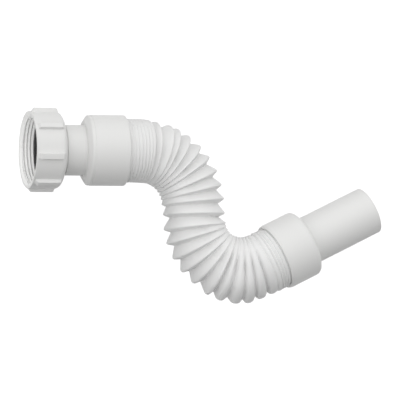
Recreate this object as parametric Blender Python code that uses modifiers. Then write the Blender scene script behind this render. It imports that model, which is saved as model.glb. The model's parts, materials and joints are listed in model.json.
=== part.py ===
"""Corrugated waste pipe: a union nut with its washer, an inlet tail, a bellows hose and an outlet spigot.

The pipe lies on the floor in an S. Lengths are metres, +Z is up, and the origin is the middle of
the underside of the whole part's box. A station is a distance along the pipe's own centreline,
counted from the mouth of the union nut.
"""
import math

import bmesh
import bpy
import numpy as np
from mathutils import Matrix, Vector

PART_NAME = "corrugated_waste_pipe"

# How round things are
TURN_STEPS = 36
HOSE_SIDES = 28
ARC_POINTS = 4

# Clearances
SEAT_GAP = 0.0003
NUT_NECK_CLEARANCE = 0.0007
WASHER_BORE_CLEARANCE = 0.00115
FLANGE_BORE_CLEARANCE = 0.00095
CUFF_CLEARANCE = 0.0003

# Union nut, 1 1/2 inch pipe thread
NUT_RADIUS = 0.0263
NUT_LENGTH = 0.0217
NUT_WALL = 0.00385
NUT_MOUTH_FLARE = 0.00165
NUT_MOUTH_CHAMFER = 0.0016
NUT_FRONT_CHAMFER = 0.0006
NUT_BACK_WALL = 0.0055
NUT_BACK_ROUNDING = 0.0038
RIB_COUNT = 8
RIB_HEIGHT = 0.0024
RIB_FLAT = 0.0010
RIB_RAMP = 0.0032
RIB_ROOT_DEPTH = 0.0012
RIB_FRONT_SETBACK = 0.0008
RIB_LENGTH = 0.0180
RIB_PHASE_DEG = 29.0

# Washer and the flange that the nut pulls on
WASHER_THICKNESS = 0.0026
WASHER_BAND = 0.0057
WASHER_EDGE = 0.0004
FLANGE_THICKNESS = 0.0034
NECK_RADIUS = 0.01725
NECK_WALL = 0.0020
NECK_VISIBLE_LENGTH = 0.0165

# Collars: the sockets at both ends that hold the hose
INLET_COLLAR_RADIUS = 0.02415
OUTLET_COLLAR_RADIUS = 0.0236
COLLAR_WALL = 0.0022
COLLAR_EDGE = 0.0004
INLET_COLLAR_LENGTH = 0.0283
INLET_SHOULDER_ROUNDING = 0.0022
RECESS_RADIUS = 0.0206
RECESS_DEPTH = 0.0022
SOCKET_STOP_RADIUS = 0.0188
SOCKET_FLOOR = 0.0030

# Hose
HOSE_LENGTH = 0.1590
HOSE_CREST_RADIUS = 0.0220
HOSE_WALL = 0.0010
CUFF_DEPTH = 0.0170
PITCH_CLOSED = 0.0020
PITCH_OPEN = 0.00625
PITCH_STRAIGHT = 0.00845
PLEAT_DEPTH_CLOSED = 0.0013
PLEAT_DEPTH_OPEN = 0.0045
PLEAT_VALLEY_SHARE = 0.36
CLOSED_INLET_LENGTH = 0.0172
CLOSED_OUTLET_LENGTH = 0.0080
CLOSED_TO_OPEN = 0.0040
STRAIGHT_MIDDLE = 0.0785
STRAIGHT_REACH = 0.0145

# The S that the hose lies in: where each bend starts and ends along the hose, how soon it reaches
# its full curvature, and how far it turns. The hose sinks to the floor over its first share and
# lifts off it again from its last.
BEND_1_START = 0.0024
BEND_1_END = 0.0815
BEND_1_EASE = 0.0234
BEND_1_TURN_DEG = -89.2
BEND_2_START = 0.0785
STRAIGHT_AT_OUTLET = 0.0065
BEND_2_EASE = 0.0087
BEND_2_TURN_DEG = 114.7
NUT_SLOPE_DEG = -4.3
INLET_SLOPE_DEG = -0.5
OUTLET_SLOPE_DEG = -4.0
SINK_SHARE = 0.30
LIFT_SHARE = 0.72
CENTRELINE_STEPS = 1600

# Outlet spigot, for a 32 mm waste socket
OUTLET_COLLAR_LENGTH = 0.0244
OUTLET_SHOULDER_ROUNDING = 0.0042
SPIGOT_RADIUS = 0.0168
SPIGOT_WALL = 0.0018
SPIGOT_LENGTH = 0.0522
SPIGOT_END_ROUNDING = 0.0006

AXIS_MARK_SIZE = 0.01

WHITE_PLASTIC = (0.80, 0.80, 0.79, 1.0)
BLACK_RUBBER = (0.012, 0.012, 0.013, 1.0)

# Stations that follow from the sizes above. The nut hangs tilted on the neck, about the middle of
# its back wall, so that its shoulder meets the flange on one side only.
NUT_TILT_DEG = INLET_SLOPE_DEG - NUT_SLOPE_DEG
NUT_PIVOT = NUT_LENGTH - NUT_BACK_WALL / 2
NUT_SHOULDER = NUT_LENGTH - NUT_BACK_WALL
NUT_HOLE_RADIUS = NECK_RADIUS + NUT_NECK_CLEARANCE
NUT_BORE_RADIUS = NUT_RADIUS - NUT_WALL
NUT_MOUTH_RADIUS = NUT_BORE_RADIUS + NUT_MOUTH_FLARE
FLANGE_RADIUS = NUT_BORE_RADIUS - FLANGE_BORE_CLEARANCE
WASHER_RADIUS = NUT_BORE_RADIUS - WASHER_BORE_CLEARANCE
WASHER_BORE_RADIUS = WASHER_RADIUS - WASHER_BAND
FLANGE_BACK = NUT_SHOULDER - SEAT_GAP - FLANGE_RADIUS * math.sin(math.radians(NUT_TILT_DEG))
FLANGE_FRONT = FLANGE_BACK - FLANGE_THICKNESS
WASHER_BACK = FLANGE_FRONT - SEAT_GAP
WASHER_FRONT = WASHER_BACK - WASHER_THICKNESS
INLET_COLLAR_START = NUT_LENGTH + NECK_VISIBLE_LENGTH
HOSE_START = INLET_COLLAR_START + INLET_COLLAR_LENGTH
HOSE_END = HOSE_START + HOSE_LENGTH
RIB_PEAK_RADIUS = NUT_RADIUS + RIB_HEIGHT
INLET_SOCKET_RADIUS = INLET_COLLAR_RADIUS - COLLAR_WALL
OUTLET_SOCKET_RADIUS = OUTLET_COLLAR_RADIUS - COLLAR_WALL
BEND_2_END = HOSE_LENGTH - STRAIGHT_AT_OUTLET
FLEX_STATION = HOSE_START + (BEND_1_END + BEND_2_START) / 2


def clear_scene():
    for obj in list(bpy.data.objects):
        bpy.data.objects.remove(obj)


def make_collection(name):
    collection = bpy.data.collections.new(name)
    bpy.context.scene.collection.children.link(collection)
    return collection


def make_material(name, colour, roughness):
    material = bpy.data.materials.new(name)
    material.use_nodes = True
    shader = material.node_tree.nodes["Principled BSDF"]
    shader.inputs["Base Color"].default_value = colour
    shader.inputs["Roughness"].default_value = roughness
    shader.inputs["Metallic"].default_value = 0.0
    material.diffuse_color = colour
    return material


def arc(centre_radius, centre_station, radius, start_deg, end_deg):
    """Points of a round edge, as (radius, station) pairs; 0 degrees points away from the axis."""
    angles = np.radians(np.linspace(start_deg, end_deg, ARC_POINTS))
    return [(centre_radius + radius * math.cos(a), centre_station + radius * math.sin(a)) for a in angles]


def turned_object(name, profile, material, collection, steps=TURN_STEPS):
    """A closed (radius, station) profile, its outer side first and running down, turned about local Z."""
    mesh = bpy.data.meshes.new(name)
    points = [(radius, 0.0, station) for radius, station in profile]
    edges = [(i, (i + 1) % len(points)) for i in range(len(points))]
    mesh.from_pydata(points, edges, [])
    mesh.materials.append(material)
    obj = bpy.data.objects.new(name, mesh)
    collection.objects.link(obj)
    screw = obj.modifiers.new("turn", "SCREW")
    screw.axis = "Z"
    screw.angle = math.tau
    screw.steps = steps
    screw.render_steps = steps
    screw.use_merge_vertices = True
    screw.merge_threshold = 0.00001
    screw.use_smooth_shade = False
    return obj


def smooth_step(value):
    value = np.clip(value, 0.0, 1.0)
    return value * value * (3.0 - 2.0 * value)


def bend_curvature(station, start, end, ease, turn_deg):
    """Curvature of one bend that eases in and out and turns by turn_deg in all."""
    shape = smooth_step((station - start) / ease) * smooth_step((end - station) / ease)
    return math.radians(turn_deg) / (end - start - ease) * shape


def running_sum(values, step):
    """The integral of evenly spaced values, from zero at the first."""
    return np.concatenate([[0.0], np.cumsum((values[1:] + values[:-1]) / 2 * step)])


def rib_angle(index):
    """Angle of a rib's steep side round the nut, from straight up towards +Y."""
    return math.radians(RIB_PHASE_DEG - index * 360.0 / RIB_COUNT)


def nut_rest_radius():
    """How far the lowest edge of the nut's ribs lies under the nut's axis."""
    edges = [(rib_angle(k), across) for k in range(RIB_COUNT) for across in (0.0, RIB_FLAT)]
    return max(across * math.sin(angle) - RIB_PEAK_RADIUS * math.cos(angle) for angle, across in edges)


def nut_height(station):
    """Height of the nut's own axis, which slopes down to where its ribs end on the floor."""
    slope = math.radians(NUT_SLOPE_DEG)
    rib_end = RIB_FRONT_SETBACK + RIB_LENGTH
    return nut_rest_radius() * math.cos(slope) + (station - rib_end) * math.sin(slope)


def eased_height(share, length, start, start_rise, end, end_rise):
    """A cubic between two heights that leaves the first and meets the second at the given rises."""
    share = np.clip(share, 0.0, 1.0)
    blend = smooth_step(share)
    lead_in = length * start_rise * share * (1 - share) ** 2
    lead_out = length * end_rise * share * share * (share - 1)
    return start * (1 - blend) + end * blend + lead_in + lead_out


def centreline_height(station):
    """Height over the floor: the nut's ribs, the hose's crests and the outlet collar rest on it."""
    inlet_rise = math.sin(math.radians(INLET_SLOPE_DEG))
    outlet_rise = math.sin(math.radians(OUTLET_SLOPE_DEG))
    inlet = nut_height(NUT_PIVOT) + (station - NUT_PIVOT) * inlet_rise
    start = nut_height(NUT_PIVOT) + (HOSE_START - NUT_PIVOT) * inlet_rise
    collar_edge = HOSE_END + OUTLET_COLLAR_LENGTH - OUTLET_SHOULDER_ROUNDING
    collar_height = OUTLET_COLLAR_RADIUS * math.cos(math.radians(OUTLET_SLOPE_DEG))
    outlet = collar_height + (station - collar_edge) * outlet_rise
    end = collar_height + (HOSE_END - collar_edge) * outlet_rise
    place = (station - HOSE_START) / HOSE_LENGTH
    sink = eased_height(place / SINK_SHARE, SINK_SHARE * HOSE_LENGTH, start, inlet_rise,
                        HOSE_CREST_RADIUS, 0.0)
    lift_share = 1.0 - LIFT_SHARE
    lift = eased_height((place - LIFT_SHARE) / lift_share, lift_share * HOSE_LENGTH,
                        HOSE_CREST_RADIUS, 0.0, end, outlet_rise)
    in_hose = np.where(place < LIFT_SHARE, sink, lift)
    return np.where(place < 0.0, inlet, np.where(place > 1.0, outlet, in_hose))


def make_centreline():
    """Stations, points and unit directions along the pipe, from the nut's mouth to the spigot's end."""
    station = np.linspace(0.0, HOSE_END + OUTLET_COLLAR_LENGTH + SPIGOT_LENGTH, CENTRELINE_STEPS)
    step = station[1] - station[0]
    along_hose = station - HOSE_START
    curvature = bend_curvature(along_hose, BEND_1_START, BEND_1_END, BEND_1_EASE, BEND_1_TURN_DEG)
    curvature += bend_curvature(along_hose, BEND_2_START, BEND_2_END, BEND_2_EASE, BEND_2_TURN_DEG)
    heading = running_sum(curvature, step)
    height = centreline_height(station)
    level = np.sqrt(1.0 - np.gradient(height, step) ** 2)
    east = running_sum(level * np.cos(heading), step)
    north = running_sum(level * np.sin(heading), step)
    points = np.stack([east, north, height], axis=1)
    directions = np.gradient(points, step, axis=0)
    directions /= np.linalg.norm(directions, axis=1)[:, None]
    return station, points, directions


CENTRELINE = make_centreline()


def centreline_at(station):
    """Point, direction, and the two cross directions (up, then sideways) at a station."""
    stations, points, directions = CENTRELINE
    point = Vector([np.interp(station, stations, points[:, k]) for k in range(3)])
    along = Vector([np.interp(station, stations, directions[:, k]) for k in range(3)]).normalized()
    side = along.cross(Vector((0.0, 0.0, 1.0))).normalized()
    return point, along, side.cross(along), side


def frame_at(station):
    """Matrix whose Z runs along the pipe and whose X points up."""
    point, along, up, side = centreline_at(station)
    matrix = Matrix.Identity(4)
    for column, axis in enumerate((up, side, along)):
        for row in range(3):
            matrix[row][column] = axis[row]
    matrix.translation = point
    return matrix


def nut_frame():
    """Matrix of the nut: tilted about the middle of its back wall, with its origin at its mouth."""
    pivot = frame_at(NUT_PIVOT)
    tilt = Matrix.Rotation(math.radians(-NUT_TILT_DEG), 4, "Y")
    return pivot @ tilt @ Matrix.Translation((0.0, 0.0, -NUT_PIVOT))


def pleat_crests():
    """Stations of the bellows' crests, counted from the hose's start, by the pitch at each place."""
    place = np.linspace(0.0, HOSE_LENGTH, CENTRELINE_STEPS)
    openness = pleat_openness(place)
    straight = np.exp(-((place - STRAIGHT_MIDDLE) / STRAIGHT_REACH) ** 2)
    open_pitch = PITCH_OPEN + (PITCH_STRAIGHT - PITCH_OPEN) * straight
    pitch = PITCH_CLOSED + (open_pitch - PITCH_CLOSED) * openness
    step = place[1] - place[0]
    count = np.concatenate([[0.0], np.cumsum(step / pitch[1:])])
    total = round(count[-1])
    return np.interp((np.arange(total) + 0.5) * count[-1] / total, count, place)


def pleat_openness(place):
    """0 where the pleats lie closed against each other, 1 where they are pulled open."""
    opening = smooth_step((place - CLOSED_INLET_LENGTH) / CLOSED_TO_OPEN)
    closing = smooth_step((HOSE_LENGTH - CLOSED_OUTLET_LENGTH - place) / CLOSED_TO_OPEN)
    return opening * closing


def hose_profile():
    """Outer side of the hose's wall, as (radius, station) from inlet cuff to outlet cuff."""
    crests = pleat_crests()
    inlet_cuff = INLET_SOCKET_RADIUS - CUFF_CLEARANCE
    outlet_cuff = OUTLET_SOCKET_RADIUS - CUFF_CLEARANCE
    points = [(inlet_cuff, HOSE_START - CUFF_DEPTH), (inlet_cuff, HOSE_START + SEAT_GAP)]
    for index, crest in enumerate(crests):
        points.append((HOSE_CREST_RADIUS, HOSE_START + crest))
        if index + 1 < len(crests):
            valley = crest + PLEAT_VALLEY_SHARE * (crests[index + 1] - crest)
            depth = PLEAT_DEPTH_CLOSED + (PLEAT_DEPTH_OPEN - PLEAT_DEPTH_CLOSED) * pleat_openness(valley)
            points.append((HOSE_CREST_RADIUS - depth, HOSE_START + valley))
    points.append((outlet_cuff, HOSE_END - SEAT_GAP))
    points.append((outlet_cuff, HOSE_END + CUFF_DEPTH))
    return points


def make_hose(material, collection):
    """A straight bellows tube, turned from its wall's profile and then laid along the centreline."""
    outer = hose_profile()
    inner = [(radius - HOSE_WALL, station) for radius, station in outer]
    loop = outer + inner[::-1]
    work = bmesh.new()
    verts = [work.verts.new((radius, 0.0, station)) for radius, station in loop]
    edges = [work.edges.new((verts[i], verts[(i + 1) % len(verts)])) for i in range(len(verts))]
    bmesh.ops.spin(work, geom=verts + edges, cent=(0, 0, 0), axis=(0, 0, 1), angle=math.tau,
                   steps=HOSE_SIDES, use_merge=True)
    bmesh.ops.remove_doubles(work, verts=work.verts, dist=0.000001)
    for vert in work.verts:
        point, along, up, side = centreline_at(vert.co.z)
        vert.co = point + up * vert.co.x + side * vert.co.y
    if work.calc_volume(signed=True) < 0.0:
        bmesh.ops.reverse_faces(work, faces=work.faces)
    mesh = bpy.data.meshes.new("bellows_hose")
    work.to_mesh(mesh)
    work.free()
    mesh.materials.append(material)
    mesh.shade_smooth()
    mesh.set_sharp_from_angle(angle=math.radians(40))
    obj = bpy.data.objects.new("bellows_hose", mesh)
    collection.objects.link(obj)
    return obj


def make_rib(angle):
    """One grip rib of the nut: a flat top with a ramp on one side, run along the nut."""
    root = NUT_RADIUS - RIB_ROOT_DEPTH
    ramp_end = RIB_FLAT + RIB_RAMP
    section = [(root, 0.0), (RIB_PEAK_RADIUS, 0.0), (RIB_PEAK_RADIUS, RIB_FLAT),
               (NUT_RADIUS - RIB_ROOT_DEPTH / 4, ramp_end), (root, ramp_end)]
    work = bmesh.new()
    verts = [work.verts.new((radius, -across, RIB_FRONT_SETBACK)) for radius, across in section]
    face = work.faces.new(verts)
    grown = bmesh.ops.extrude_face_region(work, geom=[face])
    moved = [item for item in grown["geom"] if isinstance(item, bmesh.types.BMVert)]
    bmesh.ops.translate(work, verts=moved, vec=(0.0, 0.0, RIB_LENGTH))
    bmesh.ops.rotate(work, verts=work.verts, matrix=Matrix.Rotation(-angle, 3, "Z"))
    bmesh.ops.recalc_face_normals(work, faces=work.faces)
    return work


def make_ribs(cutters):
    """All the ribs as one tool that the nut's body is joined with."""
    mesh = bpy.data.meshes.new("nut_ribs")
    whole = bmesh.new()
    for k in range(RIB_COUNT):
        rib = make_rib(rib_angle(k))
        single = bpy.data.meshes.new("rib")
        rib.to_mesh(single)
        rib.free()
        whole.from_mesh(single)
        bpy.data.meshes.remove(single)
    whole.to_mesh(mesh)
    whole.free()
    obj = bpy.data.objects.new("nut_ribs", mesh)
    cutters.objects.link(obj)
    obj.hide_render = True
    obj.display_type = "WIRE"
    return obj


def make_union_nut(material, collection, cutters):
    hole = NUT_HOLE_RADIUS
    back_corner = NUT_RADIUS - NUT_BACK_ROUNDING
    outer = [(hole + SEAT_GAP, NUT_LENGTH)]
    outer += arc(back_corner, NUT_LENGTH - NUT_BACK_ROUNDING, NUT_BACK_ROUNDING, 90, 0)
    outer += [(NUT_RADIUS, NUT_FRONT_CHAMFER), (NUT_RADIUS - NUT_FRONT_CHAMFER, 0.0)]
    inner = [(NUT_MOUTH_RADIUS, 0.0), (NUT_BORE_RADIUS, NUT_MOUTH_CHAMFER), (NUT_BORE_RADIUS, NUT_SHOULDER),
             (hole, NUT_SHOULDER), (hole, NUT_LENGTH - SEAT_GAP)]
    nut = turned_object("union_nut", outer + inner, material, collection)
    ribs = make_ribs(cutters)
    ribs.parent = nut
    union = nut.modifiers.new("ribs", "BOOLEAN")
    union.operation = "UNION"
    union.solver = "EXACT"
    union.object = ribs
    return nut


def make_washer(material, collection):
    profile = [(WASHER_RADIUS - WASHER_EDGE, WASHER_BACK), (WASHER_RADIUS, WASHER_BACK - WASHER_EDGE),
               (WASHER_RADIUS, WASHER_FRONT + WASHER_EDGE), (WASHER_RADIUS - WASHER_EDGE, WASHER_FRONT),
               (WASHER_BORE_RADIUS, WASHER_FRONT), (WASHER_BORE_RADIUS, WASHER_BACK)]
    return turned_object("sealing_washer", profile, material, collection)


def make_inlet_tail(material, collection):
    """Flange, neck and collar, moulded as one, with a recess round the neck in the collar's shoulder."""
    corner = INLET_SHOULDER_ROUNDING
    outer = [(INLET_COLLAR_RADIUS - COLLAR_EDGE, HOSE_START),
             (INLET_COLLAR_RADIUS, HOSE_START - COLLAR_EDGE)]
    outer += arc(INLET_COLLAR_RADIUS - corner, INLET_COLLAR_START + corner, corner, 0, -90)
    outer += [(RECESS_RADIUS, INLET_COLLAR_START), (RECESS_RADIUS, INLET_COLLAR_START + RECESS_DEPTH),
              (NECK_RADIUS, INLET_COLLAR_START + RECESS_DEPTH)]
    outer += [(NECK_RADIUS, FLANGE_BACK), (FLANGE_RADIUS, FLANGE_BACK), (FLANGE_RADIUS, FLANGE_FRONT)]
    bore = NECK_RADIUS - NECK_WALL
    bore_end = INLET_COLLAR_START + RECESS_DEPTH
    socket_floor = HOSE_START - CUFF_DEPTH - SEAT_GAP
    inner = [(bore, FLANGE_FRONT), (bore, bore_end), (SOCKET_STOP_RADIUS, bore_end + SOCKET_FLOOR),
             (SOCKET_STOP_RADIUS, socket_floor), (INLET_SOCKET_RADIUS, socket_floor),
             (INLET_SOCKET_RADIUS, HOSE_START)]
    return turned_object("inlet_tail", outer + inner, material, collection)


def make_outlet_spigot(material, collection):
    """Collar, rounded shoulder and plain spigot, moulded as one; local Z starts at the collar's mouth."""
    length = OUTLET_COLLAR_LENGTH + SPIGOT_LENGTH
    corner = OUTLET_SHOULDER_ROUNDING
    end = SPIGOT_END_ROUNDING
    outer = arc(SPIGOT_RADIUS - end, length - end, end, 90, 0)
    outer += [(SPIGOT_RADIUS, OUTLET_COLLAR_LENGTH)]
    outer += arc(OUTLET_COLLAR_RADIUS - corner, OUTLET_COLLAR_LENGTH - corner, corner, 90, 0)
    outer += [(OUTLET_COLLAR_RADIUS, COLLAR_EDGE), (OUTLET_COLLAR_RADIUS - COLLAR_EDGE, 0.0)]
    socket_floor = CUFF_DEPTH + SEAT_GAP
    bore = SPIGOT_RADIUS - SPIGOT_WALL
    inner = [(OUTLET_SOCKET_RADIUS, 0.0), (OUTLET_SOCKET_RADIUS, socket_floor),
             (SOCKET_STOP_RADIUS, socket_floor), (bore, OUTLET_COLLAR_LENGTH), (bore, length)]
    return turned_object("outlet_spigot", outer + inner, material, collection)


def make_axis(name, matrix, collection):
    """An empty on a joint's axis."""
    axis = bpy.data.objects.new(name, None)
    axis.empty_display_size = AXIS_MARK_SIZE
    collection.objects.link(axis)
    axis.matrix_world = matrix
    return axis


def attach(obj, parent, matrix):
    """Parent an object and keep it where matrix puts it."""
    obj.parent = parent
    obj.matrix_parent_inverse = parent.matrix_world.inverted()
    obj.matrix_basis = matrix


def rest_on_origin(root, parts):
    """Move the whole part so that its box stands centred on the origin."""
    bpy.context.view_layer.update()
    graph = bpy.context.evaluated_depsgraph_get()
    corners = []
    for obj in parts:
        evaluated = obj.evaluated_get(graph)
        mesh = evaluated.to_mesh()
        corners += [evaluated.matrix_world @ vert.co for vert in mesh.vertices]
        evaluated.to_mesh_clear()
    low = [min(corner[k] for corner in corners) for k in range(3)]
    high = [max(corner[k] for corner in corners) for k in range(3)]
    root.location = (-(low[0] + high[0]) / 2, -(low[1] + high[1]) / 2, -low[2])
    bpy.context.view_layer.update()


def main():
    clear_scene()
    collection = make_collection(PART_NAME)
    cutters = make_collection("cutters")
    white = make_material("white_plastic", WHITE_PLASTIC, 0.42)
    hose_white = make_material("hose_plastic", WHITE_PLASTIC, 0.48)
    rubber = make_material("black_rubber", BLACK_RUBBER, 0.70)

    root = make_axis("pipe_origin", Matrix.Identity(4), collection)
    flex_point = centreline_at(FLEX_STATION)[0]
    outlet_axis = make_axis("outlet_bend_axis", Matrix.Translation(flex_point), collection)
    inlet = frame_at(0.0)
    outlet = frame_at(HOSE_END)
    bpy.context.view_layer.update()

    tail = make_inlet_tail(white, collection)
    washer = make_washer(rubber, collection)
    nut = make_union_nut(white, collection, cutters)
    hose = make_hose(hose_white, collection)
    spigot = make_outlet_spigot(white, collection)

    for obj, matrix in ((tail, inlet), (washer, inlet), (nut, nut_frame()), (hose, Matrix.Identity(4))):
        attach(obj, root, matrix)
    attach(outlet_axis, root, Matrix.Translation(flex_point))
    bpy.context.view_layer.update()
    attach(spigot, outlet_axis, outlet)
    rest_on_origin(root, (tail, washer, nut, hose, spigot))


main()
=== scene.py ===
"""Looks of the corrugated waste pipe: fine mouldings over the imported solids, light, floor and camera.

Lengths are metres. A station is a distance along the pipe's own centreline from the mouth of the
union nut, and each moulding is turned about that centreline.
"""
import json
import math

import bpy
import numpy as np
from mathutils import Matrix, Vector


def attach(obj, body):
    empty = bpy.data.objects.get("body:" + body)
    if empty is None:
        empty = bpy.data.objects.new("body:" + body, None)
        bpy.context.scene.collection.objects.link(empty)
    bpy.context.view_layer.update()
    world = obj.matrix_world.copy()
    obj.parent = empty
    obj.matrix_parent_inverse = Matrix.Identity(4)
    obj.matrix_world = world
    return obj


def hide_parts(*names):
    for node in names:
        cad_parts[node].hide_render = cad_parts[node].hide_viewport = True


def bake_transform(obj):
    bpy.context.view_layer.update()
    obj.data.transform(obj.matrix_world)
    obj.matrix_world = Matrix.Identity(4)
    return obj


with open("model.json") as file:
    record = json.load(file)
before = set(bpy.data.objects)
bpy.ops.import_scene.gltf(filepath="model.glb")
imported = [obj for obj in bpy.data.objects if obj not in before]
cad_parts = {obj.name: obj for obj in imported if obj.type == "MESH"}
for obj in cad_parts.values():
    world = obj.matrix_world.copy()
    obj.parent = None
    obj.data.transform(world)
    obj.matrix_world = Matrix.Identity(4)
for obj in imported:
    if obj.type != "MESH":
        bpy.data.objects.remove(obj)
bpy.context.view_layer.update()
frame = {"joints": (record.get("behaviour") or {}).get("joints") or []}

# Where the pipe lies: the nut's mouth and axis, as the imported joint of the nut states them
nut_joint = next(joint for joint in frame["joints"] if joint["name"] == "nut_spin")
MOUTH_POINT = Vector(nut_joint["pos_m"])
NUT_AXIS = Vector(nut_joint["axis"]).normalized()
NUT_SIDE = NUT_AXIS.cross(Vector((0.0, 0.0, 1.0))).normalized()
NUT_RISE = NUT_SIDE.cross(NUT_AXIS)

# Clearances
SEAT_GAP = 0.0003
NUT_NECK_CLEARANCE = 0.0007
WASHER_BORE_CLEARANCE = 0.00115
FLANGE_BORE_CLEARANCE = 0.00095
CUFF_CLEARANCE = 0.0003

# Union nut
NUT_RADIUS = 0.0263
NUT_LENGTH = 0.0217
NUT_BORE_RADIUS = 0.02245
NUT_MOUTH_RADIUS = 0.0241
NUT_MOUTH_CHAMFER = 0.0016
NUT_BACK_WALL = 0.0055
NUT_BACK_ROUNDING = 0.0038
RIB_COUNT = 8
RIB_HEIGHT = 0.0024
RIB_FLAT = 0.0034
RIB_RAMP = 0.0008
RIB_FRONT_SETBACK = 0.0008
RIB_LENGTH = 0.0186
RIB_FRONT_FADE = 0.0024
RIB_END_ROUNDING = 0.0016
RIB_PHASE_DEG = 29.0
RIB_STEP = 0.0005
NUT_NOSE_ROUNDING = 0.0007
NUT_LIP_ROUNDING = 0.0005
NUT_NOSE_SHARE = 0.9
HOLE_EDGE = 0.0004
HOLE_MOUTH_RUN = 0.0010
INNER_CORNER_RUN = 0.0012
THREAD_PITCH = 0.002309
THREAD_DEPTH = 0.0009
THREAD_START_SHARE = 0.4
THREAD_RUN_IN = 0.0012
THREAD_FLANK_SLOPE = 1.15
THREAD_CREST_FLAT = 0.08
THREAD_BEHIND_FACE = 0.0036

# Washer, flange and neck
WASHER_THICKNESS = 0.0026
WASHER_BORE_RADIUS = 0.0156
FLANGE_THICKNESS = 0.0034
NECK_RADIUS = 0.01725
NECK_WALL = 0.0020
NECK_VISIBLE_LENGTH = 0.0165
NECK_GROOVE_START = 0.0020
NECK_GROOVE_END = 0.0034
NECK_GROOVE_DEPTH = 0.0009

# Collars
INLET_COLLAR_RADIUS = 0.02415
OUTLET_COLLAR_RADIUS = 0.0236
COLLAR_WALL = 0.0022
COLLAR_EDGE = 0.0005
INLET_COLLAR_LENGTH = 0.0283
INLET_SHOULDER_ROUNDING = 0.0022
SHOULDER_FOOT_RADIUS = 0.0198
SHOULDER_CONE_LENGTH = 0.0026
SHOULDER_BAND = 0.0022
SHOULDER_STEP = 0.0002
BORE_CONE_START = 0.0022
SOCKET_STOP_RADIUS = 0.0188
SOCKET_FLOOR = 0.0030

# Hose
HOSE_LENGTH = 0.1590
HOSE_CREST_RADIUS = 0.0220
HOSE_WALL = 0.0010
CUFF_DEPTH = 0.0170
PITCH_CLOSED = 0.0020
CLOSED_AT_INLET = 8
CLOSED_AT_OUTLET = 4
FIRST_OPEN_CREST = 0.0192
OPEN_PITCHES = (0.0069, 0.0038, 0.0057, 0.0067, 0.0064, 0.0068, 0.0065, 0.0068, 0.0085, 0.0085, 0.0060,
                0.0069, 0.0065, 0.0067, 0.0071, 0.0056, 0.0066, 0.0056, 0.0055, 0.0054)
PITCH_FULLY_OPEN = 0.0056
PLEAT_DEPTH_CLOSED = 0.0012
PLEAT_DEPTH_OPEN = 0.0053
PLEAT_VALLEY_SHARE = 0.27
LOBE_VALLEY_SHARE = 0.50
LAST_LOBE_VALLEY_SHARE = 0.64
LOBE_DEPTH = 0.0036
LOBE_HALF_WIDTH = 0.0013
INSIDE_SQUEEZE = 0.78
SQUEEZE_REACH = 0.45
CREST_ROUNDING_CLOSED = 0.0005
CREST_ROUNDING_OPEN = 0.0015
CREST_ROUNDING_LOBES = 0.0030
LOBES_START = 0.108
LOBES_FULL = 0.132
LOBE_BULGE = 0.0022
BULGE_FADE_START = 0.133
BULGE_FADE_END = 0.1467
VALLEY_ROUNDING = 0.0002
CREST_UNEVENNESS = 0.00025
UNEVEN_SEED = 11
BLEND_AFTER_START = 0.013
BLEND_BEFORE_END = 0.019

# The S that the hose lies in
BEND_1_START = 0.0024
BEND_1_END = 0.0815
BEND_1_EASE = 0.0234
BEND_1_TURN_DEG = -89.2
BEND_2_START = 0.0785
BEND_2_END = 0.1525
BEND_2_EASE = 0.0087
BEND_2_TURN_DEG = 114.7
INLET_SLOPE_DEG = -0.5
OUTLET_SLOPE_DEG = -4.0
SINK_SHARE = 0.30
LIFT_SHARE = 0.72
CENTRELINE_STEPS = 1600

# Outlet
OUTLET_COLLAR_LENGTH = 0.0244
OUTLET_SHOULDER_ROUNDING = 0.0042
OUTLET_LIP_LENGTH = 0.0018
OUTLET_LIP_DROP = 0.0005
SPIGOT_RADIUS = 0.0168
SPIGOT_WALL = 0.0018
SPIGOT_LENGTH = 0.0522

# Roundings of the mouldings' edges
BAND_CORNER = 0.0001
BAND_EDGE = 0.00012
FINE_EDGE = 0.0002
SOFT_EDGE = 0.0003
WASHER_EDGE = 0.0004
BORE_MOUTH_EDGE = 0.0004
ROUND_EDGE = 0.0005
FOOT_EDGE = 0.0006
SPIGOT_RIM_EDGE = 0.0009
BORE_EASE = 0.0010
CORNER_REACH = 0.48

# Fineness
NUT_BACK_STEPS = 15
NUT_SIDE_STEPS = 12
RIB_FRONT_STEPS = 8
THREAD_STEPS = 14
TURN_SIDES = 192
HOSE_SIDES = 176
CORNER_STEPS = 5

# Camera, fitted to the photograph's outline
LOOK_AT = Vector((-0.0027, 0.0041, 0.0220))
TO_CAMERA = Vector((-0.2271, -0.0438, 0.9729)).normalized()
CAMERA_DISTANCE = 2.115
CAMERA_ROLL_DEG = -0.42
SENSOR_WIDTH = 36.0
LENS = 277.3

# Colours
WHITE = (0.80, 0.80, 0.79, 1.0)
HOSE_WHITE = (0.835, 0.835, 0.83, 1.0)
BLACK = (0.012, 0.012, 0.013, 1.0)

# Floor and light
FLOOR_HALF_SIDE = 6.0
FLOOR_DROP = 0.0002
FLOOR_GLOW = 0.95
FLOOR_WHITE = (0.30, 0.30, 0.30, 1.0)
SKY_BRIGHT = 1.09
SKY_DARK = 0.02
SKY_FROM = (-0.31, 0.77, 0.556)
SKY_EDGE = (-0.24, 0.07)
MOUTH_LAMP_SIZE = 0.030
MOUTH_LAMP_BEFORE = 0.012
MOUTH_LAMP_DEPTH = 0.006
MOUTH_LAMP_RISE = 0.008
MOUTH_LAMP_POWER = 0.0040

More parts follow.
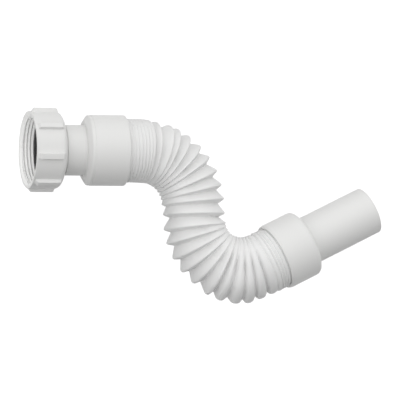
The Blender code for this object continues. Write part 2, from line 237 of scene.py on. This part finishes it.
# Sizes and stations that follow from the values above
NUT_PIVOT = NUT_LENGTH - NUT_BACK_WALL / 2
NUT_SHOULDER = NUT_LENGTH - NUT_BACK_WALL
NUT_TILT = math.radians(INLET_SLOPE_DEG) - math.asin(NUT_AXIS.z)
NUT_HOLE_RADIUS = NECK_RADIUS + NUT_NECK_CLEARANCE
RIB_PEAK_RADIUS = NUT_RADIUS + RIB_HEIGHT
RIB_END = RIB_FRONT_SETBACK + RIB_LENGTH
FLANGE_RADIUS = NUT_BORE_RADIUS - FLANGE_BORE_CLEARANCE
WASHER_RADIUS = NUT_BORE_RADIUS - WASHER_BORE_CLEARANCE
FLANGE_BACK = NUT_SHOULDER - SEAT_GAP - FLANGE_RADIUS * math.sin(NUT_TILT)
FLANGE_FRONT = FLANGE_BACK - FLANGE_THICKNESS
WASHER_BACK = FLANGE_FRONT - SEAT_GAP
WASHER_FRONT = WASHER_BACK - WASHER_THICKNESS
INLET_COLLAR_START = NUT_LENGTH + NECK_VISIBLE_LENGTH
HOSE_START = INLET_COLLAR_START + INLET_COLLAR_LENGTH
HOSE_END = HOSE_START + HOSE_LENGTH
INLET_SOCKET_RADIUS = INLET_COLLAR_RADIUS - COLLAR_WALL
OUTLET_SOCKET_RADIUS = OUTLET_COLLAR_RADIUS - COLLAR_WALL
PIVOT_POINT = MOUTH_POINT + NUT_AXIS * NUT_PIVOT


def smooth_step(value):
    value = np.clip(value, 0.0, 1.0)
    return value * value * (3.0 - 2.0 * value)


def bend_curvature(station, start, end, ease, turn_deg):
    """Curvature of one bend that eases in and out and turns by turn_deg in all."""
    shape = smooth_step((station - start) / ease) * smooth_step((end - station) / ease)
    return math.radians(turn_deg) / (end - start - ease) * shape


def hose_curvature(place):
    """Curvature of the S in plan at places counted from the hose's start."""
    first = bend_curvature(place, BEND_1_START, BEND_1_END, BEND_1_EASE, BEND_1_TURN_DEG)
    return first + bend_curvature(place, BEND_2_START, BEND_2_END, BEND_2_EASE, BEND_2_TURN_DEG)


def running_sum(values, step):
    """The integral of evenly spaced values, from zero at the first."""
    return np.concatenate([[0.0], np.cumsum((values[1:] + values[:-1]) / 2 * step)])


def eased_height(share, length, start, start_rise, end, end_rise):
    """A cubic between two heights that leaves the first and meets the second at the given rises."""
    share = np.clip(share, 0.0, 1.0)
    blend = smooth_step(share)
    lead_in = length * start_rise * share * (1 - share) ** 2
    lead_out = length * end_rise * share * share * (share - 1)
    return start * (1 - blend) + end * blend + lead_in + lead_out


def centreline_height(station):
    """Height over the floor: through the middle of the nut's hole, then down to lie on the crests."""
    inlet_rise = math.sin(math.radians(INLET_SLOPE_DEG))
    outlet_rise = math.sin(math.radians(OUTLET_SLOPE_DEG))
    inlet = PIVOT_POINT.z + (station - NUT_PIVOT) * inlet_rise
    start = PIVOT_POINT.z + (HOSE_START - NUT_PIVOT) * inlet_rise
    collar_edge = HOSE_END + OUTLET_COLLAR_LENGTH - OUTLET_SHOULDER_ROUNDING
    collar_height = OUTLET_COLLAR_RADIUS * math.cos(math.radians(OUTLET_SLOPE_DEG))
    outlet = collar_height + (station - collar_edge) * outlet_rise
    end = collar_height + (HOSE_END - collar_edge) * outlet_rise
    place = (station - HOSE_START) / HOSE_LENGTH
    sink = eased_height(place / SINK_SHARE, SINK_SHARE * HOSE_LENGTH, start, inlet_rise,
                        HOSE_CREST_RADIUS, 0.0)
    lift_share = 1.0 - LIFT_SHARE
    lift = eased_height((place - LIFT_SHARE) / lift_share, lift_share * HOSE_LENGTH,
                        HOSE_CREST_RADIUS, 0.0, end, outlet_rise)
    in_hose = np.where(place < LIFT_SHARE, sink, lift)
    return np.where(place < 0.0, inlet, np.where(place > 1.0, outlet, in_hose))


def make_centreline():
    """Stations, points and unit directions along the pipe, from the nut's mouth to the spigot's end."""
    station = np.linspace(0.0, HOSE_END + OUTLET_COLLAR_LENGTH + SPIGOT_LENGTH, CENTRELINE_STEPS)
    step = station[1] - station[0]
    heading = running_sum(hose_curvature(station - HOSE_START), step)
    height = centreline_height(station)
    level = np.sqrt(1.0 - np.gradient(height, step) ** 2)
    before_hole = NUT_PIVOT * math.cos(math.radians(INLET_SLOPE_DEG))
    east = PIVOT_POINT.x - before_hole + running_sum(level * np.cos(heading), step)
    north = PIVOT_POINT.y + running_sum(level * np.sin(heading), step)
    points = np.stack([east, north, height], axis=1)
    directions = np.gradient(points, step, axis=0)
    directions /= np.linalg.norm(directions, axis=1)[:, None]
    return station, points, directions


CENTRELINE = make_centreline()


def frames_at(stations):
    """Points, directions along, up directions and sideways directions at many stations."""
    table, points, directions = CENTRELINE
    point = np.stack([np.interp(stations, table, points[:, k]) for k in range(3)], axis=1)
    along = np.stack([np.interp(stations, table, directions[:, k]) for k in range(3)], axis=1)
    along /= np.linalg.norm(along, axis=1)[:, None]
    side = np.cross(along, (0.0, 0.0, 1.0))
    side /= np.linalg.norm(side, axis=1)[:, None]
    return point, along, np.cross(side, along), side


def matrix_from(first, second, third, origin):
    """A matrix with these three axes as its columns and its origin at a point."""
    matrix = Matrix.Identity(4)
    for column, axis in enumerate((first, second, third)):
        for row in range(3):
            matrix[row][column] = axis[row]
    matrix.translation = Vector(origin)
    return matrix


def matrix_at(station):
    """Matrix whose Z runs along the pipe and whose X points up."""
    point, along, up, side = [row[0] for row in frames_at(np.array([station]))]
    return matrix_from(up, side, along, point)


def rounded_path(corners, closed=True):
    """(radius, station) points of a path whose corners, given as (radius, station, rounding), are eased."""
    corners = [np.array(corner, float) for corner in corners]
    count = len(corners)
    path = []
    for index, corner in enumerate(corners):
        here = corner[:2]
        at_end = not closed and index in (0, count - 1)
        if at_end or corner[2] <= 0.0:
            path.append(here)
            continue
        before = corners[index - 1][:2] - here
        after = corners[(index + 1) % count][:2] - here
        shorter = min(np.linalg.norm(before), np.linalg.norm(after))
        reach = min(corner[2], CORNER_REACH * shorter)
        first = here + before / np.linalg.norm(before) * reach
        last = here + after / np.linalg.norm(after) * reach
        for share in np.linspace(0.0, 1.0, CORNER_STEPS):
            path.append(first * (1 - share) ** 2 + 2 * here * share * (1 - share) + last * share ** 2)
    return np.array(path)


def grid_mesh(name, points):
    """A closed skin over rings of points, shape (rings, sides, 3), the last ring joined to the first."""
    rings, sides = points.shape[:2]
    ring = np.arange(rings)[:, None]
    side = np.arange(sides)[None, :]
    next_ring = (ring + 1) % rings
    next_side = (side + 1) % sides
    corners = [ring * sides + side, next_ring * sides + side,
               next_ring * sides + next_side, ring * sides + next_side]
    faces = np.stack(corners, axis=-1).reshape(-1, 4)
    mesh = bpy.data.meshes.new(name)
    mesh.from_pydata(points.reshape(-1, 3).tolist(), [], faces.tolist())
    mesh.shade_smooth()
    mesh.update()
    return mesh


def add_piece(name, mesh, material, matrix=None):
    """An object at the world's origin that shows the mesh, placed by the matrix."""
    if matrix is not None:
        mesh.transform(matrix)
    obj = bpy.data.objects.new(name, mesh)
    bpy.context.scene.collection.objects.link(obj)
    mesh.materials.append(material)
    normals = obj.modifiers.new("even_normals", "WEIGHTED_NORMAL")
    normals.keep_sharp = True
    return obj


def turned_points(path):
    """Rings of points of a (radius, station) path turned about local Z."""
    angle = np.arange(TURN_SIDES) * math.tau / TURN_SIDES
    radius = path[:, 0][:, None]
    station = np.repeat(path[:, 1][:, None], TURN_SIDES, axis=1)
    return np.stack([radius * np.cos(angle), radius * np.sin(angle), station], axis=-1)


def rib_share(across, station):
    """0 on the nut's round side, 1 on a grip rib's top, across its steep side and along the nut."""
    into_end = np.clip((station - RIB_END + RIB_END_ROUNDING) / RIB_END_ROUNDING, 0.0, 1.0)
    hook = RIB_END_ROUNDING * (1.0 - np.sqrt(1.0 - into_end ** 2))
    rise = smooth_step((across - hook + RIB_STEP) / RIB_STEP)
    fall = smooth_step((RIB_FLAT + RIB_RAMP - across) / RIB_RAMP)
    front = smooth_step((station - RIB_FRONT_SETBACK) / RIB_FRONT_FADE)
    return rise * fall * front * (1.0 - into_end ** 3)


def nut_angles():
    """Angles round the nut, close together at each rib's edges, and their distances from its steep side.

    Each stretch, as (first, last, number of angles), runs a little past the edge that it keeps smooth.
    """
    pitch = math.tau / RIB_COUNT
    turn = NUT_RADIUS * pitch
    step_up = (-RIB_STEP * 1.4, RIB_STEP * 0.6, 8)
    top = (RIB_STEP * 1.4, RIB_FLAT - RIB_STEP * 0.6, 6)
    ramp_down = (RIB_FLAT - RIB_RAMP * 0.1, RIB_FLAT + RIB_RAMP * 1.1, 8)
    plain_side = (RIB_FLAT + RIB_RAMP * 1.7, turn - RIB_STEP * 2.4, 12)
    stretches = (step_up, top, ramp_down, plain_side)
    across = np.concatenate([np.linspace(first, last, count) for first, last, count in stretches])[::-1]
    start = -math.radians(RIB_PHASE_DEG)
    angles = [start + index * pitch - across / NUT_RADIUS for index in range(RIB_COUNT)]
    return np.concatenate(angles), np.tile(across, RIB_COUNT)


def nut_outer_path():
    """Outside of the nut from its back hole, over the rounded back, to the start of its mouth."""
    turn = np.radians(np.linspace(90.0, 0.0, NUT_BACK_STEPS))
    corner = NUT_BACK_ROUNDING
    back = np.stack([NUT_RADIUS - corner + corner * np.cos(turn),
                     NUT_LENGTH - corner + corner * np.sin(turn)], axis=1)
    hole = rounded_path([(NUT_HOLE_RADIUS, NUT_LENGTH - HOLE_MOUTH_RUN, 0.0),
                         (NUT_HOLE_RADIUS, NUT_LENGTH, HOLE_EDGE),
                         (back[0][0], NUT_LENGTH, 0.0)], closed=False)
    rib_full = RIB_FRONT_SETBACK + RIB_FRONT_FADE
    middle = np.linspace(NUT_LENGTH - corner, rib_full, NUT_SIDE_STEPS)[1:]
    front = np.linspace(rib_full, RIB_FRONT_SETBACK, RIB_FRONT_STEPS)[1:]
    along = np.concatenate([middle, front])
    side = np.stack([np.full(len(along), NUT_RADIUS), along], axis=1)
    return np.concatenate([hole[:-1], back, side])


def thread_radius(station, angle):
    """Radius of the nut's inside thread: rounded crests and roots that climb one pitch a turn."""
    phase = station / THREAD_PITCH + angle / math.tau
    wave = np.abs((phase % 1.0) * 2.0 - 1.0)
    run_in = smooth_step((station - NUT_MOUTH_CHAMFER * THREAD_START_SHARE) / THREAD_RUN_IN)
    groove = smooth_step(wave * THREAD_FLANK_SLOPE - THREAD_CREST_FLAT)
    return NUT_BORE_RADIUS + THREAD_DEPTH * run_in * groove


def make_nut(material):
    """The nut in one skin: ribbed outside, nose, threaded bore and back wall with its hole."""
    angles, across = nut_angles()
    nose = rounded_path([(NUT_RADIUS, RIB_FRONT_SETBACK * NUT_NOSE_SHARE, 0.0),
                         (NUT_RADIUS, 0.0, NUT_NOSE_ROUNDING),
                         (NUT_MOUTH_RADIUS, 0.0, NUT_LIP_ROUNDING),
                         (NUT_BORE_RADIUS, NUT_MOUTH_CHAMFER, SOFT_EDGE)], closed=False)
    thread_end = WASHER_FRONT + THREAD_BEHIND_FACE
    bore = np.arange(NUT_MOUTH_CHAMFER + FINE_EDGE, thread_end, THREAD_PITCH / THREAD_STEPS)
    back = rounded_path([(NUT_BORE_RADIUS, NUT_SHOULDER - INNER_CORNER_RUN, 0.0),
                         (NUT_BORE_RADIUS, NUT_SHOULDER, SOFT_EDGE),
                         (NUT_HOLE_RADIUS, NUT_SHOULDER, SOFT_EDGE),
                         (NUT_HOLE_RADIUS, NUT_LENGTH - INNER_CORNER_RUN, 0.0)], closed=False)

    def plain(path):
        return np.repeat(path[:, :1], len(angles), axis=1), np.repeat(path[:, 1:], len(angles), axis=1)

    plain_radius, outer_station = plain(nut_outer_path())
    ribs = rib_share(across[None, :], outer_station)
    outer_radius = plain_radius + (RIB_PEAK_RADIUS - plain_radius) * ribs
    nose_radius, nose_station = plain(nose)
    bore_station = np.repeat(bore[:, None], len(angles), axis=1)
    bore_radius = thread_radius(bore_station, angles[None, :])
    back_radius, back_station = plain(back)
    radius = np.concatenate([outer_radius, nose_radius, bore_radius, back_radius])
    station = np.concatenate([outer_station, nose_station, bore_station, back_station])
    points = np.stack([radius * np.cos(angles), radius * np.sin(angles), station], axis=-1)
    nut_matrix = matrix_from(NUT_RISE, NUT_SIDE, NUT_AXIS, MOUTH_POINT)
    return add_piece("nut_moulding", grid_mesh("nut_moulding", points), material, nut_matrix)


def make_turned(name, corners, material, station):
    """A piece turned about the pipe's direction at a station, from the corners of its section."""
    path = rounded_path(corners)
    return add_piece(name, grid_mesh(name, turned_points(path)), material, matrix_at(station))


def make_washer(material):
    """The flat rubber ring between the flange and whatever the nut is screwed onto."""
    corners = [
        (WASHER_RADIUS, WASHER_BACK, WASHER_EDGE),
        (WASHER_RADIUS, WASHER_FRONT, WASHER_EDGE),
        (WASHER_BORE_RADIUS, WASHER_FRONT, WASHER_EDGE),
        (WASHER_BORE_RADIUS, WASHER_BACK, WASHER_EDGE),
    ]
    return make_turned("washer_ring", corners, material, 0.0)


def make_inlet_tail(material):
    """The tail from its collar over the shoulder, neck and flange, and back through the bore."""
    cone_end = INLET_COLLAR_START + SHOULDER_CONE_LENGTH
    band_end = cone_end + SHOULDER_BAND
    bore = NECK_RADIUS - NECK_WALL
    socket_floor = HOSE_START - CUFF_DEPTH - SEAT_GAP
    bore_end = INLET_COLLAR_START + BORE_CONE_START
    corners = [
        (INLET_COLLAR_RADIUS, HOSE_START, COLLAR_EDGE),
        (INLET_COLLAR_RADIUS, band_end, BAND_EDGE),
        (INLET_COLLAR_RADIUS - SHOULDER_STEP * 2, band_end - SHOULDER_STEP, BAND_CORNER),
        (INLET_COLLAR_RADIUS - SHOULDER_STEP, band_end - SHOULDER_STEP * 2, BAND_EDGE),
        (INLET_COLLAR_RADIUS - SHOULDER_STEP, cone_end, INLET_SHOULDER_ROUNDING),
        (SHOULDER_FOOT_RADIUS, INLET_COLLAR_START, ROUND_EDGE),
        (NECK_RADIUS, INLET_COLLAR_START, FOOT_EDGE),
        (NECK_RADIUS, NUT_LENGTH + NECK_GROOVE_END, FINE_EDGE),
        (NECK_RADIUS - NECK_GROOVE_DEPTH, NUT_LENGTH + NECK_GROOVE_END, SOFT_EDGE),
        (NECK_RADIUS - NECK_GROOVE_DEPTH, NUT_LENGTH + NECK_GROOVE_START, SOFT_EDGE),
        (NECK_RADIUS, NUT_LENGTH + NECK_GROOVE_START, FINE_EDGE),
        (NECK_RADIUS, FLANGE_BACK, SOFT_EDGE),
        (FLANGE_RADIUS, FLANGE_BACK, SOFT_EDGE),
        (FLANGE_RADIUS, FLANGE_FRONT, SOFT_EDGE),
        (bore, FLANGE_FRONT, BORE_MOUTH_EDGE),
        (bore, bore_end, BORE_EASE),
        (SOCKET_STOP_RADIUS, bore_end + SOCKET_FLOOR, BORE_EASE),
        (SOCKET_STOP_RADIUS, socket_floor, FINE_EDGE),
        (INLET_SOCKET_RADIUS, socket_floor, FINE_EDGE),
        (INLET_SOCKET_RADIUS, HOSE_START, SOFT_EDGE),
    ]
    return make_turned("inlet_moulding", corners, material, 0.0)


def make_outlet_spigot(material):
    """The outlet from the spigot's rim over its collar to the socket, and back through the bore."""
    length = OUTLET_COLLAR_LENGTH + SPIGOT_LENGTH
    bore = SPIGOT_RADIUS - SPIGOT_WALL
    socket_floor = CUFF_DEPTH + SEAT_GAP
    corners = [
        (bore, length, ROUND_EDGE),
        (SPIGOT_RADIUS, length, SPIGOT_RIM_EDGE),
        (SPIGOT_RADIUS, OUTLET_COLLAR_LENGTH, FOOT_EDGE),
        (OUTLET_COLLAR_RADIUS, OUTLET_COLLAR_LENGTH, OUTLET_SHOULDER_ROUNDING),
        (OUTLET_COLLAR_RADIUS, OUTLET_LIP_LENGTH, FINE_EDGE),
        (OUTLET_COLLAR_RADIUS - OUTLET_LIP_DROP, 0.0, SOFT_EDGE),
        (OUTLET_SOCKET_RADIUS, 0.0, SOFT_EDGE),
        (OUTLET_SOCKET_RADIUS, socket_floor, FINE_EDGE),
        (SOCKET_STOP_RADIUS, socket_floor, FINE_EDGE),
        (bore, OUTLET_COLLAR_LENGTH, BORE_EASE),
    ]
    return make_turned("outlet_moulding", corners, material, HOSE_END)


def pleat_crests():
    """Places of the bellows' crests, counted from the hose's start: closed, open and closed again."""
    closed_first = PITCH_CLOSED * (np.arange(CLOSED_AT_INLET) + 0.5)
    open_middle = FIRST_OPEN_CREST + np.concatenate([[0.0], np.cumsum(OPEN_PITCHES)])
    closed_last = HOSE_LENGTH - PITCH_CLOSED * (np.arange(CLOSED_AT_OUTLET)[::-1] + 0.5)
    return np.concatenate([closed_first, open_middle, closed_last])


def lobe_share(place):
    """0 where the pleats are pointed, 1 where the second bend has drawn them out into round lobes."""
    return smooth_step((place - LOBES_START) / (LOBES_FULL - LOBES_START))


def hose_corners():
    """Outside of the hose from cuff to cuff, as (radius, station, rounding) corners, a little uneven."""
    uneven = np.random.default_rng(UNEVEN_SEED)
    crests = pleat_crests()
    openness = smooth_step((np.diff(crests) - PITCH_CLOSED) / (PITCH_FULLY_OPEN - PITCH_CLOSED))
    at_crest = np.maximum(np.append(openness, 0.0), np.append(0.0, openness))
    heights = HOSE_CREST_RADIUS - at_crest * uneven.uniform(0.0, CREST_UNEVENNESS, len(crests))
    lobes = lobe_share(crests)
    open_rounding = CREST_ROUNDING_OPEN + (CREST_ROUNDING_LOBES - CREST_ROUNDING_OPEN) * lobes
    roundings = CREST_ROUNDING_CLOSED + (open_rounding - CREST_ROUNDING_CLOSED) * at_crest
    valley_shares = PLEAT_VALLEY_SHARE + (LOBE_VALLEY_SHARE - PLEAT_VALLEY_SHARE) * lobes
    half_widths = LOBE_HALF_WIDTH * lobes * at_crest
    depths_open = PLEAT_DEPTH_OPEN + (LOBE_DEPTH - PLEAT_DEPTH_OPEN) * lobes
    last_open = CLOSED_AT_INLET + len(OPEN_PITCHES)
    openness[last_open] = 0.0
    valley_shares[last_open] = LAST_LOBE_VALLEY_SHARE
    inlet_cuff = INLET_SOCKET_RADIUS - CUFF_CLEARANCE
    outlet_cuff = OUTLET_SOCKET_RADIUS - CUFF_CLEARANCE
    corners = [(inlet_cuff, HOSE_START - CUFF_DEPTH, 0.0), (inlet_cuff, HOSE_START + SEAT_GAP, 0.0)]
    for index, crest in enumerate(crests):
        place = HOSE_START + crest
        half = half_widths[index]
        if half < LOBE_HALF_WIDTH / 4:
            corners.append((heights[index], place, roundings[index]))
        else:
            corners.append((heights[index], place - half, roundings[index]))
            corners.append((heights[index], place + half, roundings[index]))
        if index + 1 < len(crests):
            valley = crest + valley_shares[index] * (crests[index + 1] - crest)
            depth = PLEAT_DEPTH_CLOSED + (depths_open[index] - PLEAT_DEPTH_CLOSED) * openness[index]
            corners.append((HOSE_CREST_RADIUS - depth, HOSE_START + valley, VALLEY_ROUNDING))
    corners.append((outlet_cuff, HOSE_END - SEAT_GAP, 0.0))
    corners.append((outlet_cuff, HOSE_END + CUFF_DEPTH, 0.0))
    return corners


def bent_radius(radius, station, sideways):
    """Radius of the hose: shallow valleys inside a bend, a slight bulge outside the second one."""
    turn = -hose_curvature(station - HOSE_START) * HOSE_CREST_RADIUS
    inside = turn[:, None] * sideways[None, :]
    share = 1.0 - INSIDE_SQUEEZE * smooth_step(inside / SQUEEZE_REACH)
    place = station - HOSE_START
    fade = smooth_step((BULGE_FADE_END - place) / (BULGE_FADE_END - BULGE_FADE_START))
    bulge = LOBE_BULGE * (lobe_share(place) * fade)[:, None] * smooth_step(-inside / SQUEEZE_REACH)
    return HOSE_CREST_RADIUS + bulge - (HOSE_CREST_RADIUS - radius[:, None]) * share


def make_hose(material):
    """The hose in one skin: the pleated outside, and the same pleats with sharp corners for the inside."""
    corners = hose_corners()
    outer = rounded_path(corners, closed=False)
    inner = np.array([(radius, station) for radius, station, rounding in corners])[::-1]
    angle = np.arange(HOSE_SIDES) * math.tau / HOSE_SIDES
    outer_radius = bent_radius(outer[:, 0], outer[:, 1], np.sin(angle))
    inner_radius = bent_radius(inner[:, 0], inner[:, 1], np.sin(angle)) - HOSE_WALL
    radius = np.concatenate([outer_radius, inner_radius])
    point, along, up, side = frames_at(np.concatenate([outer[:, 1], inner[:, 1]]))
    points = (point[:, None, :] + radius[..., None] * np.cos(angle)[None, :, None] * up[:, None, :]
              + radius[..., None] * np.sin(angle)[None, :, None] * side[:, None, :])
    return add_piece("hose_bellows", grid_mesh("hose_bellows", points), material)


def new_material(name):
    material = bpy.data.materials.new(name)
    material.use_nodes = True
    nodes = material.node_tree.nodes
    shader = nodes["Principled BSDF"]
    return material, nodes, material.node_tree.links, shader


def plastic(name, colour, roughness, grain, relief):
    """Satin plastic or rubber whose surface is faintly uneven: grains a metre, and relief in metres."""
    material, nodes, links, shader = new_material(name)
    shader.inputs["Base Color"].default_value = colour
    shader.inputs["Roughness"].default_value = roughness
    shader.inputs["IOR"].default_value = 1.49
    shader.inputs["Specular IOR Level"].default_value = 0.35
    place = nodes.new("ShaderNodeTexCoord")
    noise = nodes.new("ShaderNodeTexNoise")
    noise.inputs["Scale"].default_value = grain
    noise.inputs["Detail"].default_value = 4.0
    bump = nodes.new("ShaderNodeBump")
    bump.inputs["Strength"].default_value = 0.5
    bump.inputs["Distance"].default_value = relief
    links.new(place.outputs["Object"], noise.inputs["Vector"])
    links.new(noise.outputs["Fac"], bump.inputs["Height"])
    links.new(bump.outputs["Normal"], shader.inputs["Normal"])
    return material


def seen_directly(nodes, links):
    """1 for camera, glossy and transmission rays, else 0."""
    path = nodes.new("ShaderNodeLightPath")
    first = nodes.new("ShaderNodeMath")
    first.operation = "MAXIMUM"
    second = nodes.new("ShaderNodeMath")
    second.operation = "MAXIMUM"
    links.new(path.outputs["Is Camera Ray"], first.inputs[0])
    links.new(path.outputs["Is Glossy Ray"], first.inputs[1])
    links.new(first.outputs[0], second.inputs[0])
    links.new(path.outputs["Is Transmission Ray"], second.inputs[1])
    return second.outputs[0]


def make_floor():
    """White floor that shows white to the camera and still takes the shadow."""
    material, nodes, links, shader = new_material("floor_white")
    shader.inputs["Base Color"].default_value = FLOOR_WHITE
    shader.inputs["Roughness"].default_value = 0.9
    shader.inputs["Specular IOR Level"].default_value = 0.0
    shader.inputs["Emission Color"].default_value = (1.0, 1.0, 1.0, 1.0)
    glow = nodes.new("ShaderNodeMath")
    glow.operation = "MULTIPLY"
    glow.inputs[1].default_value = FLOOR_GLOW
    links.new(seen_directly(nodes, links), glow.inputs[0])
    links.new(glow.outputs[0], shader.inputs["Emission Strength"])
    mesh = bpy.data.meshes.new("floor")
    half = FLOOR_HALF_SIDE
    mesh.from_pydata([(-half, -half, 0.0), (half, -half, 0.0), (half, half, 0.0), (-half, half, 0.0)],
                     [], [(0, 1, 2, 3)])
    mesh.materials.append(material)
    floor = bpy.data.objects.new("floor", mesh)
    bpy.context.scene.collection.objects.link(floor)
    floor.location.z = -FLOOR_DROP


def make_sky():
    """Soft light from all round, brighter from the upper left, and white where it is seen directly."""
    world = bpy.data.worlds.new("studio")
    bpy.context.scene.world = world
    world.use_nodes = True
    nodes = world.node_tree.nodes
    links = world.node_tree.links
    background = nodes["Background"]
    place = nodes.new("ShaderNodeTexCoord")
    facing = nodes.new("ShaderNodeVectorMath")
    facing.operation = "DOT_PRODUCT"
    facing.inputs[1].default_value = SKY_FROM
    ramp = nodes.new("ShaderNodeMapRange")
    ramp.interpolation_type = "SMOOTHSTEP"
    ramp.inputs["From Min"].default_value = SKY_EDGE[0]
    ramp.inputs["From Max"].default_value = SKY_EDGE[1]
    ramp.inputs["To Min"].default_value = SKY_DARK
    ramp.inputs["To Max"].default_value = SKY_BRIGHT
    mix = nodes.new("ShaderNodeMix")
    mix.data_type = "FLOAT"
    mix.inputs[3].default_value = 1.0
    links.new(place.outputs["Generated"], facing.inputs[0])
    links.new(facing.outputs["Value"], ramp.inputs["Value"])
    links.new(ramp.outputs["Result"], mix.inputs[2])
    links.new(seen_directly(nodes, links), mix.inputs[0])
    links.new(mix.outputs[0], background.inputs["Strength"])
    background.inputs["Color"].default_value = (1.0, 1.0, 1.0, 1.0)


def make_mouth_lamp():
    """A small soft lamp before the nut's mouth that lights its bore and none of its outside."""
    place = MOUTH_POINT - NUT_AXIS * MOUTH_LAMP_BEFORE + NUT_RISE * MOUTH_LAMP_RISE
    aim = MOUTH_POINT + NUT_AXIS * MOUTH_LAMP_DEPTH - NUT_RISE * NUT_BORE_RADIUS
    data = bpy.data.lights.new("mouth_lamp", "AREA")
    data.shape = "DISK"
    data.size = MOUTH_LAMP_SIZE
    data.energy = MOUTH_LAMP_POWER
    lamp = bpy.data.objects.new("mouth_lamp", data)
    bpy.context.scene.collection.objects.link(lamp)
    lamp.visible_camera = False
    lamp.location = place
    lamp.rotation_euler = (aim - place).to_track_quat("-Z", "Y").to_euler()


def make_camera():
    """A long lens that sees the pipe from above, rolled a little as the photograph is."""
    right = Vector((0.0, 1.0, 0.0)).cross(TO_CAMERA).normalized()
    up = TO_CAMERA.cross(right)
    roll = math.radians(CAMERA_ROLL_DEG)
    turned_right = right * math.cos(roll) + up * math.sin(roll)
    turned_up = up * math.cos(roll) - right * math.sin(roll)
    data = bpy.data.cameras.new("camera")
    data.sensor_width = SENSOR_WIDTH
    data.lens = LENS
    data.clip_start = 0.1
    data.clip_end = 50.0
    camera = bpy.data.objects.new("camera", data)
    bpy.context.scene.collection.objects.link(camera)
    place = LOOK_AT + TO_CAMERA * CAMERA_DISTANCE
    camera.matrix_world = matrix_from(turned_right, turned_up, TO_CAMERA, place)
    bpy.context.scene.camera = camera


def blend_ends():
    """Two points on the straight line between the hose's ends, set in from each end clear of both cuffs."""
    first = frames_at(np.array([HOSE_START]))[0][0]
    last = frames_at(np.array([HOSE_END]))[0][0]
    along = (last - first) / np.linalg.norm(last - first)
    return first + along * BLEND_AFTER_START, last - along * BLEND_BEFORE_END


def main():
    bpy.context.scene.view_settings.view_transform = "Standard"
    white = plastic("white_moulded", WHITE, roughness=0.42, grain=900.0, relief=0.00003)
    hose_white = plastic("white_blown", HOSE_WHITE, roughness=0.45, grain=160.0, relief=0.00025)
    rubber = plastic("washer_rubber", BLACK, roughness=0.70, grain=1500.0, relief=0.00005)

    nut = make_nut(white)
    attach(nut, "nut")
    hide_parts("union_nut")

    washer = make_washer(rubber)
    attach(washer, "inlet")
    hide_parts("sealing_washer")

    tail = make_inlet_tail(white)
    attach(tail, "inlet")
    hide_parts("inlet_tail")

    spigot = make_outlet_spigot(white)
    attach(spigot, "outlet")
    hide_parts("outlet_spigot")

    hose = make_hose(hose_white)
    blend_ends()
    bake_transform(hose)
    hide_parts("bellows_hose")

    make_floor()
    make_sky()
    make_mouth_lamp()
    make_camera()


main()
